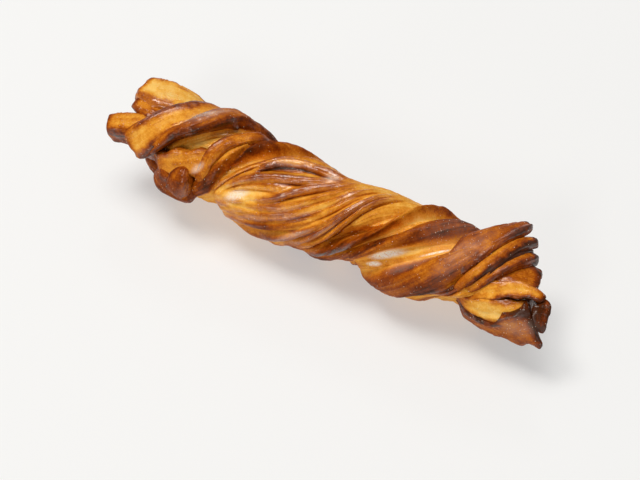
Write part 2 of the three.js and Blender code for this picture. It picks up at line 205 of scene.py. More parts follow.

# Places baked darker, painted as shade, or left paler: [along, turn, half-length, half-turn, turn per
# length, amount]
BAKED_AND_SHADED_PLACES = [
    [-22, 57, 11, 11, -1.3, -0.2],
    [-24, 74, 9, 5, -0.6, -0.16],
    # painted light: the hollow under the crossing ribbon lies in its shade, so it is painted paler
    [-48, 12, 9, 14, -2.2, -0.1],
    # painted shade below the second layer crest in front
    [-12.7, 12, 9, 4, -1.3, 0.26],
    [-2.5, 46, 8, 5, -2, -0.14],
    [1.6, 56, 8, 5, -2.2, 0.2],
    [6, 38, 9, 6, -2.2, -0.12],
    [41, -10, 8, 9, -4.5, -0.2],
    [58, 66, 12, 9, -3, 0.2],
    # painted shade on the lower front, under the strands
    [20, 118, 9, 16, -2, 0.3],
    [61, 126, 14, 30, -1, 0.45],
    [-28, 2, 9, 9, -5, 0.16],
    # painted shade in the crease along the broad strand, partly its own darker brown
    [-40, 66, 5, 22, -3, 0.16],
    [-33.5, 28, 5, 5, -5.5, 0.12],
    [-36, 18, 8, 12, -4, -0.26],
    [-14, -24, 12, 14, -2.2, 0.2],
    [-12, 2, 10, 4, -1.2, -0.24],
    [-18, 100, 16, 16, -1.8, 0.2],
    [23, 46, 9, 6, -3.3, 0.26],
    [36, 52, 9, 9, -2.2, -0.16],
    [43, 20, 9, 12, -4, -0.14],
    [46, 42, 7, 5, -2.8, -0.14],
    [50, 54, 8, 6, -2.8, 0.12],
    [55, 30, 7, 6, -3, -0.05],
    # darker lower side of the broad strand: partly its own brown, partly painted shade
    [56, 90, 16, 16, -2.6, 0.3],
    [9, 92, 5, 7, -2.4, -0.12],
    [57, 44, 14, 16, -3, -0.06],
    [68, 62, 6, 12, -4, 0.25],
    [68, -8, 8, 20, -3, -0.12],
]

# Loose strips from the cut end: [along, turn, radius, width, thickness] of the middle; the rise of
# the two rims; the browning of first rim, face, second rim and cut end; the tilt of the face;
# how blunt the end is, from 0 round to 1 square
STRIPS = {
    "left_upper_tab": dict(rims=(0.3, 0.6), tones=(0.42, 0.08, 0.58, 0.56), tilt=16, blunt=0.8, knots=[
        [-86.6, -27, 16.8, 15, 7.5], [-77, -28, 17, 17, 8.5], [-66, -36, 16.4, 16, 8.5],
        [-55, -58, 13, 14, 8],
    ]),
    "left_upper_under": dict(rims=(0, 0), tones=(0.6, 0.34, 0.6, 0.66), tilt=0, blunt=0.7, knots=[
        [-84.6, 1, 15.8, 7, 3.6], [-76, 3, 16.2, 9, 4], [-66, 0, 15, 9, 4],
    ]),
    # Its first rim, the lower side, is dark: partly its own brown, partly painted shade under it
    "left_lower_tab": dict(rims=(0.2, 0.2), tones=(0.78, 0.32, 0.44, 0.62), tilt=-32, blunt=0.9, knots=[
        [-89.4, 54, 13, 9, 13], [-82, 44, 13.2, 10.5, 13], [-73, 34, 12.8, 11, 13], [-60, 14, 10, 10, 9],
    ]),
    "left_inner_dough": dict(rims=(0, 0), tones=(0.7, 0.6, 0.7, 0.7), tilt=0, blunt=0.6, knots=[
        [-79, 20, 5, 17, 13], [-72, 20, 5, 18, 14], [-60, 20, 4, 18, 14],
    ]),
    "left_back_tab": dict(rims=(0.4, 0.4), tones=(0.62, 0.42, 0.62, 0.7), tilt=0, blunt=0.8, knots=[
        [-79, 190, 10.5, 13, 6.5], [-70, 185, 11.5, 15, 8], [-58, 185, 10, 15, 8],
    ]),
    "left_crossing_ribbon": dict(rims=(0.3, 0.9), tones=(0.68, 0.26, 0.64, 0.52), tilt=0, blunt=0.75, knots=[
        [-76.4, 61, 17.4, 12.5, 4.4], [-70.2, 39, 19, 13.5, 5], [-63.3, 14, 19.8, 13.6, 5],
        [-55.4, -7, 19.8, 16, 5], [-51, -25, 19.2, 16.5, 5], [-46, -55, 17.4, 15, 5],
    ]),
    "dark_roll": dict(rims=(0, 0), tones=(0.68, 0.52, 0.58, 0.62), tilt=0, blunt=0.3, knots=[
        [-68.5, 60, 17.4, 3, 4], [-65.2, 47, 19.4, 3.6, 4.6], [-61, 30, 20.3, 4.8, 5.4],
        [-56.8, 18, 20.6, 5.8, 6], [-53.4, 8, 20.7, 6.8, 6], [-49.6, -10, 20.6, 8.4, 6.4],
        [-47.4, -25, 20.4, 10, 6.6], [-44.6, -45, 19.6, 11, 6.6], [-41, -65, 18, 11, 6.4],
        [-37, -88, 15, 10, 6],
    ]),
    "left_inner_strip": dict(rims=(0.4, 0.2), tones=(0.56, 0.32, 0.46, 0.16), tilt=0, blunt=0.8, knots=[
        [-41, 40, 15.6, 11, 3], [-46, 45, 17, 11.5, 4], [-51, 51, 17.6, 11.5, 5], [-58, 61, 17.4, 11, 6],
        [-67.5, 72, 14.6, 9, 5.5],
    ]),
    "broad_lip": dict(rims=(0, 0.2), tones=(0.5, 0.46, 0.58, 0.5), tilt=0, blunt=0.3, knots=[
        [-44, 70, 18, 4, 3], [-42.6, 52, 19.6, 5, 3.6], [-41.6, 35, 20.4, 5.4, 4],
        [-39.4, 18, 20.6, 5.4, 4], [-35.8, 4, 20.6, 5, 4], [-30.4, -11, 20.2, 4.4, 4],
        [-25, -28, 19, 4, 4],
    ]),
    "curled_tip": dict(rims=(0, 0), tones=(0.7, 0.6, 0.5, 0.6), tilt=0, blunt=0, knots=[
        [-50.6, 56, 18.2, 6, 7], [-51, 63, 19.2, 8.6, 9], [-51.4, 73, 19.4, 9.6, 10],
        [-52.6, 87, 17.8, 10, 10], [-55.5, 106, 14, 10, 9],
    ]),
    "curl_under": dict(rims=(0.3, 0.3), tones=(0.7, 0.62, 0.68, 0.7), tilt=0, blunt=0.2, knots=[
        [-63.6, 78, 15, 8, 7], [-59, 85, 17, 11, 9], [-52, 88, 17.4, 12, 9], [-44, 80, 14.6, 11, 8],
    ]),
    "right_long_tip": dict(rims=(0.2, 0.3), tones=(0.58, 0.52, 0.66, 0.84), tilt=0, blunt=0.5, knots=[
        [82, -46, 27, 4.4, 4], [77.6, -33, 23.4, 7.8, 4.8], [72, -14, 19.8, 10.5, 5.6],
        [68, 6, 17.6, 12, 6], [65, 28, 16.4, 11, 6], [62, 46, 15, 8, 5],
    ]),
    "right_second_fin": dict(rims=(0, 0), tones=(0.46, 0.38, 0.78, 0.84), tilt=0, blunt=0.92, knots=[
        [85.8, -44, 22, 4.4, 4.4], [81.2, -24, 19.8, 6, 4.6], [77.2, 3, 17.6, 6, 4.6],
        [73.2, 32, 16.8, 5, 4.6], [69, 56, 16.2, 3.6, 4], [66.5, 74, 14, 1.8, 3],
    ]),
    "right_middle_fin": dict(rims=(0, 0), tones=(0.8, 0.74, 0.8, 0.86), tilt=0, blunt=0.7, knots=[
        [86, -42, 18.4, 3, 3.4], [82.4, -18, 17.2, 3.4, 4], [78.8, 7, 16, 3.6, 4.4],
        [74.6, 33, 15.4, 3.4, 4.4], [70, 57, 15.2, 2.6, 3.6], [67.2, 75, 13.2, 1.6, 3],
    ]),
    "right_third_fin": dict(rims=(0, 0), tones=(0.5, 0.44, 0.66, 0.86), tilt=0, blunt=0.92, knots=[
        [88.6, -38, 16.4, 4.6, 4.6], [84.8, -16, 15.8, 5, 5], [80.4, 12, 15.2, 4.8, 5],
        [76, 38, 14.8, 4.4, 5], [70.5, 62, 14.4, 3.8, 4.6], [67.5, 76, 12.2, 3.4, 4.4],
    ]),
    "right_flat_sheet": dict(rims=(0.4, 0.3), tones=(0.66, 0.5, 0.52, 0.74), tilt=0, blunt=0.85, knots=[
        [94.6, -8, 11.4, 11.5, 3], [88, 0, 12.4, 13, 3.6], [80, 10, 12, 14, 4.5], [72, 18, 8, 13, 4.5],
    ]),
    "tail_upper_fold": dict(rims=(0.2, 0.6), tones=(0.42, 0.28, 0.7, 0.8), tilt=0, blunt=0.6, knots=[
        [100.4, 22, 13.6, 3.6, 2.2], [94, 23, 14.4, 5.4, 2.6], [88, 29, 14.8, 6.8, 3],
        [82.5, 40, 14.4, 7, 3.4], [76, 55, 13.6, 6, 4], [69, 72, 12.8, 4.5, 4],
    ]),
    "tail_outer_flap": dict(rims=(0.2, 0.2), tones=(0.84, 0.78, 0.86, 0.9), tilt=0, blunt=0.7, knots=[
        [101.6, 78, 12.2, 5, 1.8], [101.6, 62, 12.8, 6.4, 1.8], [101, 46, 13.3, 6.6, 1.8],
        [100, 31, 13.4, 6, 1.8], [96, 19, 12, 4.5, 1.8],
    ]),
    "tail_inner_fold": dict(rims=(0.3, 0.3), tones=(0.5, 0.14, 0.62, 0.56), tilt=0, blunt=0.7, knots=[
        [96, 46, 11.6, 5, 2.6], [91, 58, 13, 8, 3], [86.4, 67, 13.8, 9.5, 3.6], [80.5, 73, 13.8, 9, 4],
        [74, 77, 13.2, 7.5, 4.5], [67, 81, 12.4, 6, 4.5],
    ]),
    "tail_lower_strip": dict(rims=(0.9, 0.3), tones=(0.76, 0.46, 0.64, 0.8), tilt=0, blunt=0.85, knots=[
        [100.2, 68, 13, 19, 3], [96, 80, 13.4, 17, 3.8], [91, 95, 13.4, 14, 4.8], [84, 107, 13, 11.5, 6],
        [76, 110, 12, 10, 6.5], [67, 103, 10.4, 9, 6.5],
    ]),
    # Dough inside the tail's opening, nearly burnt in colour: painted shade in the opening
    "tail_inner_dough_painted_shade": dict(rims=(0, 0), tones=(0.84, 0.84, 0.84, 0.86), tilt=0, blunt=0.6, knots=[
        [95, 56, 6, 17, 11], [84, 56, 6, 17, 12], [72, 52, 4, 17, 12],
    ]),
    "tail_back_strip": dict(rims=(0.3, 0.3), tones=(0.62, 0.42, 0.62, 0.74), tilt=0, blunt=0.8, knots=[
        [89, 205, 10, 12, 6], [80, 200, 11, 14, 7], [68, 195, 10, 14, 7],
    ]),
}

# Places where the glaze lies thick, and where sugar stuck or a pale film is painted on as sheen: laid out as
# the baked places are
GLOSSY_PLACES = [
    [-52.5, -5, 7, 14, -3, 0.9],
    [-70, 8, 6, 9, -3.6, 0.9],
    [-10, 4, 13, 6, -1.2, 0.8],
    [-20, 32, 6, 5, -1.2, 0.7],
    [0, 81, 9, 8, -2.3, 1],
    [-6, 57, 5, 6, -1.8, 0.8],
    [-18, 79, 5, 6, -1, 0.8],
    [13, 55, 6, 8, -3.4, 0.7],
    [19, 26, 3, 8, -4, 0.7],
    [26, -15, 4, 12, -5, 0.6],
    [-34, 38, 6, 9, -4, 0.7],
    [-73, -18, 5, 10, -1, 0.7],
    [78, -18, 4, 9, -5, 0.6],
    [83, 16, 4, 8, -4, 0.6],
    [88, 44, 4, 6, -2, 0.5],
]
SUGAR_AND_SHEEN_PLACES = [
    [38, 57, 7.5, 8, -2.3, 1],
    [33.5, 82, 3.5, 6, -2, 0.9],
    [55.5, 25, 6, 2.6, -2.9, 0.9],
    [-26.5, 61, 5, 7, -1.6, 0.7],
    [57, -4, 10, 24, -2.5, 0.05],
    [5, -3, 4, 6, -1, 0.4],
    [-45, 50, 3, 7, -2, 0.4],
    [66, 20, 9, 30, -4, 0.06],
    [95, 78, 9, 18, -1, 0.1],
    [-51, -10, 6, 16, -3, 0.07],
    [48, 55, 9, 8, -2.6, 0.1],
    # the last three are painted sheen: a pale film that stands for highlights on the glaze
    [0, 79, 9, 3, -2.3, 0.16],
    [-14, 8, 8, 3, -1.2, 0.12],
    [-53, -4, 6, 6, -3, 0.22],
]

# Colours of the dough from pale to nearly burnt, each with how brown it is. In the materials,
# lengths are metres.
BAKE_COLOURS = [
    (0.0, (0.92, 0.58, 0.16)),
    (0.15, (0.86, 0.45, 0.075)),
    (0.3, (0.76, 0.32, 0.032)),
    (0.45, (0.60, 0.20, 0.014)),
    (0.6, (0.42, 0.105, 0.004)),
    (0.75, (0.25, 0.046, 0.002)),
    (0.9, (0.13, 0.022, 0.002)),
    (1.0, (0.055, 0.012, 0.002)),
]
CRUST_SHADING = {
    "Coat Roughness": 0.12,
    "Coat IOR": 1.8,
    "Roughness": 0.5,
    "Specular IOR Level": 0.08,
    "Specular Tint": (1, 0.6, 0.3, 1),
    "Subsurface Weight": 0.06,
    "Subsurface Radius": (0.0016, 0.0007, 0.0003),
    "Subsurface Scale": 1,
}
# Pale sugar film; the same colour is painted on as sheen that stands for highlights on the glaze
SUGAR_FILM_AND_SHEEN = (0.98, 0.93, 0.85, 1)
SUGAR_TINTS = (0.95, 0.8, 0.58, 1), (0.96, 0.9, 0.8, 1)
SUGAR_CLOUDS = 900
SUGAR_ROUGHNESS = 0.25

# Floor, light and camera, in metres, watts and degrees, but the sensor and lens in millimetres;
# a lamp has a name, place, size and power
FLOOR_SIZE = 8
FLOOR_SHADING = {
    "Base Color": (0.5, 0.515, 0.54, 1),
    "Roughness": 0.9,
    "Emission Color": (1, 1, 0.99, 1),
    "Emission Strength": 0.38,
    "Specular IOR Level": 0.1,
}
SURROUNDINGS = {"Color": (1, 0.99, 0.97, 1), "Strength": 0.22}
LIGHT_COLOUR = (1, 0.95, 0.87)
LIGHTS = [
    ("overhead", (-0.4, 0.1, 2.45), 1.6, 33),
    ("key", (-0.8, -0.2, 2.1), 0.7, 13),
    ("front", (0.17, -2.6, 1.73), 0.9, 17),
    ("low_front", (-0.9, -2.4, 0.45), 0.6, 6),
    ("back", (-1.1, 2.2, 2.0), 0.6, 4),
]
CAMERA_AZIMUTH = 31
CAMERA_ELEVATION = 48
CAMERA_DISTANCE = 0.75
CAMERA_SENSOR = 36
CAMERA_LENS = 108
AIM_RIGHT = 0.00082
AIM_DOWN = 0.01203

# Unevenness of the dough: how far it rises and how much browner it is by each pattern
BODY_RISE = dict(streaks=0.2, sharp_streaks=0.16, lumps=0.4, blisters=0.13)
BODY_TONE = dict(streaks=0.06, sharp_streaks=0.06, lumps=0.06, blisters=0.05)
STRIP_RISE = dict(streaks=0.16, lumps=0.4, blisters=0.16, layers=0.25, sheet_edge=0.45)
STRIP_TONE = dict(streaks=0.05, lumps=0.06, blisters=0.05, layers=0.12, sheet_edge=0.07)
RAGGED_RIMS = dict(lumps=0.2, blisters=0.14, streaks=0.1)
GRAIN_RADIUS = 18
GRAIN_STRETCH = 16
STRIP_GRAIN_STRETCH = 9

# Browning and gloss of the body; a pair says where a change starts and where it is complete
CORE_TONE = 0.2
CREST_TONE = 0.32
# How dark the painted shade in the step below each crest is
FOOT_SHADE_TONE = 0.2
STRAND_COVER = (0.5, 4.5)
GLOSSY_CREST = (0.1, 0.5)
LEAST_GLOSS = 0.08
BODY_GLOSS = 0.92
STRIP_GLOSS = 0.7
BODY_BRUSHED = (-0.9, 0.5)
STRIP_BRUSHED = (-0.6, 0.6)
SPOT_FADE = (0.35, 1.15)

# Loose strips: rims, painted shade on the underside and at the root, cut end and the sheets that show on the
# face
RIM_SPAN = (0.25, 0.8)
RIM_HEIGHT = (-0.2, 0.6)
RIM_BROWNED = (0.3, 1)
UNDER_SHADE_SPAN = (0.3, 0.9)
UNDER_SHADE_TONE = 0.7
ROOT_SHADE = 0.8
UNEVEN_WIDTH = 0.16
END_REACH = 4
CAP_START = 0.05
CUT_FACE = (0.9, 1)
CUT_BROWNED = (0.3, 3.5)
CUT_JAG = 0.5
LAYER_JAG = 0.45
JAG_REACH = 4
LAYERED_SIDES = (0.8, 0.97)
SHEET_SPREAD = 9
SHEET_STRETCH = 14
SHEET_WANDER = 0.9
SHEET_SHIFT = 0.37
SHEET_HEIGHT = (0.1, 0.6)
SHEET_START = 5

# Whole numbers that scramble a place into a random value, and sizes too small to matter
HASH_FACTORS = np.array([374761393, 668265263, 1103515245])
HASH_SEED_FACTOR = 362437
HASH_MIX = 1274126177
HASH_TOP = 0xFFFF
NEXT_TO_NOTHING = 1e-6
NO_AREA = 1e-9


def smoothstep(value, low, high):
    share = np.clip((value - low) / (high - low), 0, 1)
    return share * share * (3 - 2 * share)


def follow(knots, along, column):
    """Value of one column of a knot list at places along it, as a smooth curve through the knots."""
    table = np.asarray(knots, float)
    last = len(table) - 1
    along = np.clip(along, table[0, 0], table[last, 0])
    k = np.clip(np.searchsorted(table[:, 0], along, side="right") - 1, 0, last - 1)
    place, value = table[:, 0], table[:, column]
    before, after = np.maximum(k - 1, 0), np.minimum(k + 2, last)
    span = place[k + 1] - place[k]
    t = (along - place[k]) / span
    rising = (value[k + 1] - value[before]) / (place[k + 1] - place[before]) * span
    leaving = (value[after] - value[k]) / (place[after] - place[k]) * span
    step = t * t * (3 - 2 * t)
    bend = t * (1 - t) * (rising * (1 - t) - leaving * t)
    return value[k] * (1 - step) + value[k + 1] * step + bend


def turn_between(turn, other):
    return (turn - other + 180) % 360 - 180


def add_up(start, amounts, patterns):
    """A value with each named pattern added to it by its own amount."""
    for name, amount in amounts.items():
        start = start + amount * patterns[name]
    return start


def fold_height(knots, flat, along, turn):
    """Height of one rounded fold or hollow over the body."""
    away = turn_between(turn, follow(knots, along, 1))
    across = np.minimum(np.abs(away) / follow(knots, along, 2), 1)
    return follow(knots, along, 3) * (1 - across**flat) ** FOLD_FULLNESS


def smooth_noise(points, size, seed):
    """Smooth random values between -1 and 1 that change over about the given size."""
    cell = np.asarray(points, float) / size
    low = np.floor(cell).astype(np.int64)
    part = cell - low
    ease = part * part * (3 - 2 * part)
    total = np.zeros(cell.shape[:-1])
    for corner in itertools.product((0, 1), repeat=3):
        spot = low + np.array(corner)
        mixed = (spot * HASH_FACTORS).sum(axis=-1) + seed * HASH_SEED_FACTOR
        mixed = (mixed ^ (mixed >> 13)) * HASH_MIX
        value = ((mixed ^ (mixed >> 16)) & HASH_TOP) / (HASH_TOP / 2) - 1
        weight = np.prod(np.where(corner, ease, 1 - ease), axis=-1)
        total += value * weight
    return total


def two_noises(points, coarse, fine, share, seed):
    """Smooth noise of a coarse size with a share of a finer one."""
    return smooth_noise(points, coarse, seed) + share * smooth_noise(points, fine, seed + 1)


def noise_along(run, own_place, size, seed):
    """Smooth noise that changes only along a strip and differs from strip to strip."""
    return smooth_noise(np.stack([run, 0 * run + own_place, 0 * run], axis=-1), size, seed)


def place_of(along, turn, radius):
    angle = np.radians(turn)
    return np.stack([along, -radius * np.sin(angle), AXIS_HEIGHT + radius * np.cos(angle)], axis=-1)


def front_edge_lines(along):
    """Turn and rise of each front layer edge; past its ends an edge runs on with the winding."""
    turns, rises = [], []
    for edge in FRONT_EDGES:
        inside = np.clip(along, edge[0][0], edge[-1][0])
        run_on = follow(WINDING, along, 1) - follow(WINDING, inside, 1)
        turns.append(follow(edge, inside, 1) + run_on)
        rises.append(follow(edge, inside, 2))
    return np.stack(turns), np.stack(rises)


def back_edge_lines(along):
    """Turn and rise of the layer edges that run with the winding behind and below."""
    turns, rises = [], []
    for number, (offset, rise) in enumerate(BACK_EDGES):
        wave = SWAY_LENGTH + number % SWAY_LENGTHS
        sway = SWAY_TURN * np.sin(along / wave + number * SWAY_SHIFT)
        turn = follow(WINDING, along, 1) + offset + sway
        behind = BACK_HALF_TURN + BACK_FADE - np.abs(turn_between(turn, BACK_TURN))
        turns.append(turn)
        rises.append(BACK_RISE * rise * smoothstep(behind, 0, BACK_FADE))
    return np.stack(turns), np.stack(rises)


def layer_steps(turns, rises, turn):
    """Stepped relief of thin layers, each rising gently to a round crest, and the painted shade in the step
    below each crest.
    """
    around = math.radians(1) * LAYER_RADIUS
    height, foot_shade = 0, 0
    for edge_turn, rise in zip(turns, rises):
        away = turn_between(turn, edge_turn) * around
        climb = smoothstep(away, -EDGE_REACH, -EDGE_ROUNDING) ** EDGE_HOLLOW
        past = np.clip((away + EDGE_ROUNDING) / (EDGE_ROUNDING + EDGE_DROP), 0, 1)
        height = np.maximum(height, rise * climb * np.sqrt(1 - past * past))
        foot_shade = np.maximum(foot_shade, rise * np.exp(-(((away - EDGE_DROP) / FOOT_SHADE_WIDTH) ** 2)))
    return height, foot_shade * np.clip(1 - height / EDGE_FULL, 0, 1)


def strand_relief(along, turn):
    """Height of the strands over the core, the browning they bring, and the hollows between."""
    powers, tone = {}, 0
    for name, strand in STRANDS.items():
        powers[name] = fold_height(strand["knots"], strand["flat"], along, turn) ** STRAND_BLEND
    total = sum(powers.values())
    for name, strand in STRANDS.items():
        tone = tone + powers[name] * strand["tone"]
    hollows = sum(fold_height(knots, HOLLOW_FLAT, along, turn) for knots in HOLLOWS)
    return total ** (1 / STRAND_BLEND), tone / (total + NEXT_TO_NOTHING), hollows


def within_lower_line(along, turn, radius):
    """The radius held back softly to where the lower front of the body ends."""
    aside = np.abs(turn_between(turn, LOWER_TURN))
    limit = follow(LOWER_LINE, along, 1) / np.cos(np.radians(np.minimum(aside, LOWER_REACH)))
    held = (radius**-LOWER_SOFTNESS + limit**-LOWER_SOFTNESS) ** (-1 / LOWER_SOFTNESS)
    return np.where(aside < LOWER_REACH, held, radius)


def end_rounding(along):
    into_start = np.maximum(0, BODY_START + END_ROUNDING - along)
    into_end = np.maximum(0, along - (BODY_END - END_ROUNDING))
    into = END_LEFT_OPEN * (into_start + into_end) / END_ROUNDING
    return np.sqrt(1 - into * into)


def spots(places, points):
    """Sum of soft oval spots at points on the pastry."""
    along = points[..., 0]
    turn = np.degrees(np.arctan2(-points[..., 1], points[..., 2] - AXIS_HEIGHT))
    total = 0
    for middle, middle_turn, half_length, half_turn, slope, amount in places:
        run = along - middle
        aside = turn_between(turn, middle_turn + slope * run)
        off = np.sqrt((run / half_length) ** 2 + (aside / half_turn) ** 2)
        total = total + amount * (1 - smoothstep(off, *SPOT_FADE))
    return total


def body_patterns(along, turn, round_turn):
    """Unevenness of the body: streaks that run with the folds, lumps and blisters."""
    wrapped = np.radians(round_turn) + np.zeros_like(along)
    ring = [np.cos(wrapped) * GRAIN_RADIUS, np.sin(wrapped) * GRAIN_RADIUS]
    grain = np.stack([*ring, along / GRAIN_STRETCH], axis=-1)
    around = place_of(along, turn, LAYER_RADIUS)
    patterns = dict(
        streaks=two_noises(grain, coarse=1.5, fine=0.7, share=0.7, seed=3),
        sharp_streaks=1 - 2 * np.abs(smooth_noise(grain, size=1.9, seed=8)),
        lumps=smooth_noise(around, size=9, seed=5),
        blisters=two_noises(around, coarse=2.4, fine=1.1, share=0.6, seed=6),
    )
    return patterns, grain


def body_surface():
    """Grid of points over the twisted body, with the bake and painted shade, gloss and grain of each."""
    along = np.linspace(BODY_START, BODY_END, STATIONS)[:, None] + np.zeros((1, ROUND_POINTS))
    round_turn = np.linspace(0, 360, ROUND_POINTS, endpoint=False)[None, :]
    turn = follow(WINDING, along, 1) + round_turn
    strand_height, tone, hollows = strand_relief(along, turn)
    front_steps, front_feet_shade = layer_steps(*front_edge_lines(along), turn)
    back_steps, back_feet_shade = layer_steps(*back_edge_lines(along), turn)
    steps, feet_shade = front_steps + back_steps, front_feet_shade + back_feet_shade
    patterns, grain = body_patterns(along, turn, round_turn)

    radius = within_lower_line(along, turn, CORE_RADIUS + strand_height + hollows + steps)
    radius = add_up(radius, BODY_RISE, patterns) * end_rounding(along)
    overhang = np.degrees(EDGE_OVERHANG * steps / radius)
    points = place_of(along, turn + overhang, radius)

    cover = smoothstep(strand_height, *STRAND_COVER)
    crest = np.clip(steps / EDGE_FULL, 0, 1)
    browning_and_shade = CORE_TONE * (1 - cover) + tone * cover
    # Painted shade: darker in the step below each layer's crest; some of the spots are painted shade or
    # light too
    browning_and_shade = browning_and_shade + CREST_TONE * crest**2 + FOOT_SHADE_TONE * feet_shade + spots(BAKED_AND_SHADED_PLACES, points)
    browning_and_shade = add_up(browning_and_shade, BODY_TONE, patterns)
    brushed = smoothstep(patterns["lumps"] + patterns["streaks"], *BODY_BRUSHED)
    gloss = LEAST_GLOSS + BODY_GLOSS * smoothstep(crest, *GLOSSY_CREST) * brushed
    return points, browning_and_shade, gloss, grain


def strip_course(knots, tilt):
    """Middle line of a strip with its directions and sizes at every station, sinking in at the root."""
    table = np.array(knots, float)
    stops = place_of(*table[:, :3].T)
    reach = np.concatenate([[0], np.cumsum(np.linalg.norm(np.diff(stops, axis=0), axis=1))])
    course = np.column_stack([reach, stops, table[:, 3:]])
    run = np.linspace(0, reach[-1], STRIP_STATIONS)
    middle = np.stack([follow(course, run, column) for column in (1, 2, 3)], axis=-1)
    ahead = np.gradient(middle, axis=0)
    ahead /= np.linalg.norm(ahead, axis=1, keepdims=True)
    outward = middle * np.array([0, 1, 1]) - np.array([0, 0, AXIS_HEIGHT])
    sideways = np.cross(outward, ahead)
    sideways /= np.linalg.norm(sideways, axis=1, keepdims=True)
    outward = np.cross(ahead, sideways)
    root = smoothstep(run, reach[-1] - ROOT_REACH, reach[-1])
    middle = middle - outward * (ROOT_DEPTH * root)[:, None]
    slimmer = 1 - ROOT_TAPER * root
    width, thickness = slimmer * follow(course, run, 4), slimmer * follow(course, run, 5)
    lean = math.radians(tilt)
    leaning = outward * math.cos(lean) - sideways * math.sin(lean)
    sideways = sideways * math.cos(lean) + outward * math.sin(lean)
    return run, middle, ahead, sideways, leaning, width, thickness


def strip_section(rims):
    """Rounded square section of a strip, across and high from -1 to 1, and the lift of its rims."""
    angle = np.linspace(0, 2 * math.pi, STRIP_RING, endpoint=False)
    power = 2 / STRIP_SQUARENESS
    across = np.sign(np.cos(angle)) * np.abs(np.cos(angle)) ** power
    height = np.sign(np.sin(angle)) * np.abs(np.sin(angle)) ** power
    rim_lift = rims[0] * smoothstep(-across, *RIM_SPAN) + rims[1] * smoothstep(across, *RIM_SPAN)
    return across, height, rim_lift * smoothstep(height, *RIM_HEIGHT)


def moved(directions, amounts):
    """The direction of each ring times the amounts round it."""
    return directions[:, None, :] * amounts[..., None]


def strip_looks(tones, across, height, length, patterns):
    """Bake and gloss of a strip, by its rims, face and cut end, with painted shade on its underside and at
    its root.
    """
    first_rim, face, second_rim, cut_end = tones
    ragged = add_up(0, RAGGED_RIMS, patterns)
    at_first = smoothstep(ragged - across, *RIM_BROWNED)
    at_second = smoothstep(ragged + across, *RIM_BROWNED)
    under = smoothstep(-height, *UNDER_SHADE_SPAN)[None, :]
    browning_and_shade = face + (first_rim - face) * at_first + (second_rim - face) * at_second
    # Painted shade: the underside, which faces the body, is kept dark
    browning_and_shade = np.maximum(browning_and_shade, under * UNDER_SHADE_TONE)
    at_end = 1 - smoothstep(length, *CUT_BROWNED)
    browning_and_shade = browning_and_shade + (cut_end - browning_and_shade) * at_end
    # Painted shade where the strip sinks into the body at its root
    root = length.max()
    shade_at_root = smoothstep(length, root - 2 * ROOT_REACH, root)
    browning_and_shade = browning_and_shade + ROOT_SHADE * np.maximum(ROOT_SHADE_TONE - browning_and_shade, 0) * shade_at_root
    browning_and_shade = add_up(browning_and_shade, STRIP_TONE, patterns)
    brushed = smoothstep(patterns["lumps"] + patterns["streaks"], *STRIP_BRUSHED)
    gloss = LEAST_GLOSS + STRIP_GLOSS * np.maximum(at_first, at_second) * brushed
    return browning_and_shade, gloss


def strip_surface(rims, tones, tilt, blunt, knots):
    """Rings of points over the cut end and along one loose strip, with bake and painted shade, gloss and
    grain.
    """
    own_along, own_turn = knots[0][:2]
    rows = np.concatenate([np.zeros(CAP_ROWS, int), np.arange(STRIP_STATIONS)])
    cap = np.linspace(CAP_START, 1, CAP_ROWS, endpoint=False)
    cap = np.concatenate([cap, np.ones(STRIP_STATIONS)])[:, None]
    course = (values[rows] for values in strip_course(knots, tilt))
    run, middle, ahead, sideways, outward, width, thickness = course
    across, height, rim_lift = strip_section(rims)

    into = 1 - np.clip(run / (1 + END_REACH * (1 - blunt)), 0, 1)
    fullness = (blunt + (1 - blunt) * np.sqrt(1 - into * into))[:, None] * cap
    uneven = 1 + UNEVEN_WIDTH * noise_along(run, own_along, size=5, seed=25)
    side = fullness * (uneven * width / 2)[:, None] * across
    up = fullness * ((thickness / 2)[:, None] * height + rim_lift)
    points = middle[:, None, :] + moved(sideways, side) + moved(outward, up)

    length = run[:, None] + np.zeros_like(up)
    grain = np.stack([side + own_along, up + own_turn, length / STRIP_GRAIN_STRETCH], axis=-1)
    sheets = [side / SHEET_SPREAD + own_along, up + own_turn, length / SHEET_STRETCH]
    layers = smooth_noise(np.stack(sheets, axis=-1), size=0.5, seed=23)
    wander = noise_along(length, own_along, size=9, seed=24)
    sheet_edge = ((side + SHEET_WANDER * wander) / SHEET_STEP + SHEET_SHIFT * own_turn) % 1
    on_top = smoothstep(height, *SHEET_HEIGHT)
    cut_face = 1 - smoothstep(cap, *CUT_FACE)
    layered = np.maximum(cut_face, smoothstep(np.abs(across), *LAYERED_SIDES)[None, :])
    patterns = dict(
        streaks=two_noises(grain, coarse=1.3, fine=0.6, share=0.6, seed=21),
        lumps=smooth_noise(points, size=6, seed=11),
        blisters=two_noises(points, coarse=2.2, fine=1, share=0.6, seed=12),
        layers=layers * layered,
        sheet_edge=sheet_edge**3 * on_top * smoothstep(length, 0, SHEET_START),
    )

    away = points - middle[:, None, :]
    away /= np.linalg.norm(away, axis=-1, keepdims=True)
    points = points + away * (add_up(0, STRIP_RISE, patterns) * cap)[..., None]
    across_the_cut = smooth_noise(grain * np.array([1, 1, 0]), size=2.2, seed=14)
    jag = CUT_JAG * across_the_cut + LAYER_JAG * layers * cut_face
    points = points + moved(ahead, jag * (1 - smoothstep(length, 0, JAG_REACH)))
    browning_and_shade, gloss = strip_looks(tones, across, height, length, patterns)
    return points, browning_and_shade, gloss, grain


def rest_on_table(surfaces):
    """Flatten the lowest folds where they lie on the table."""
    for points, _, _, _ in surfaces:
        points[..., 2] = np.maximum(points[..., 2], 0)


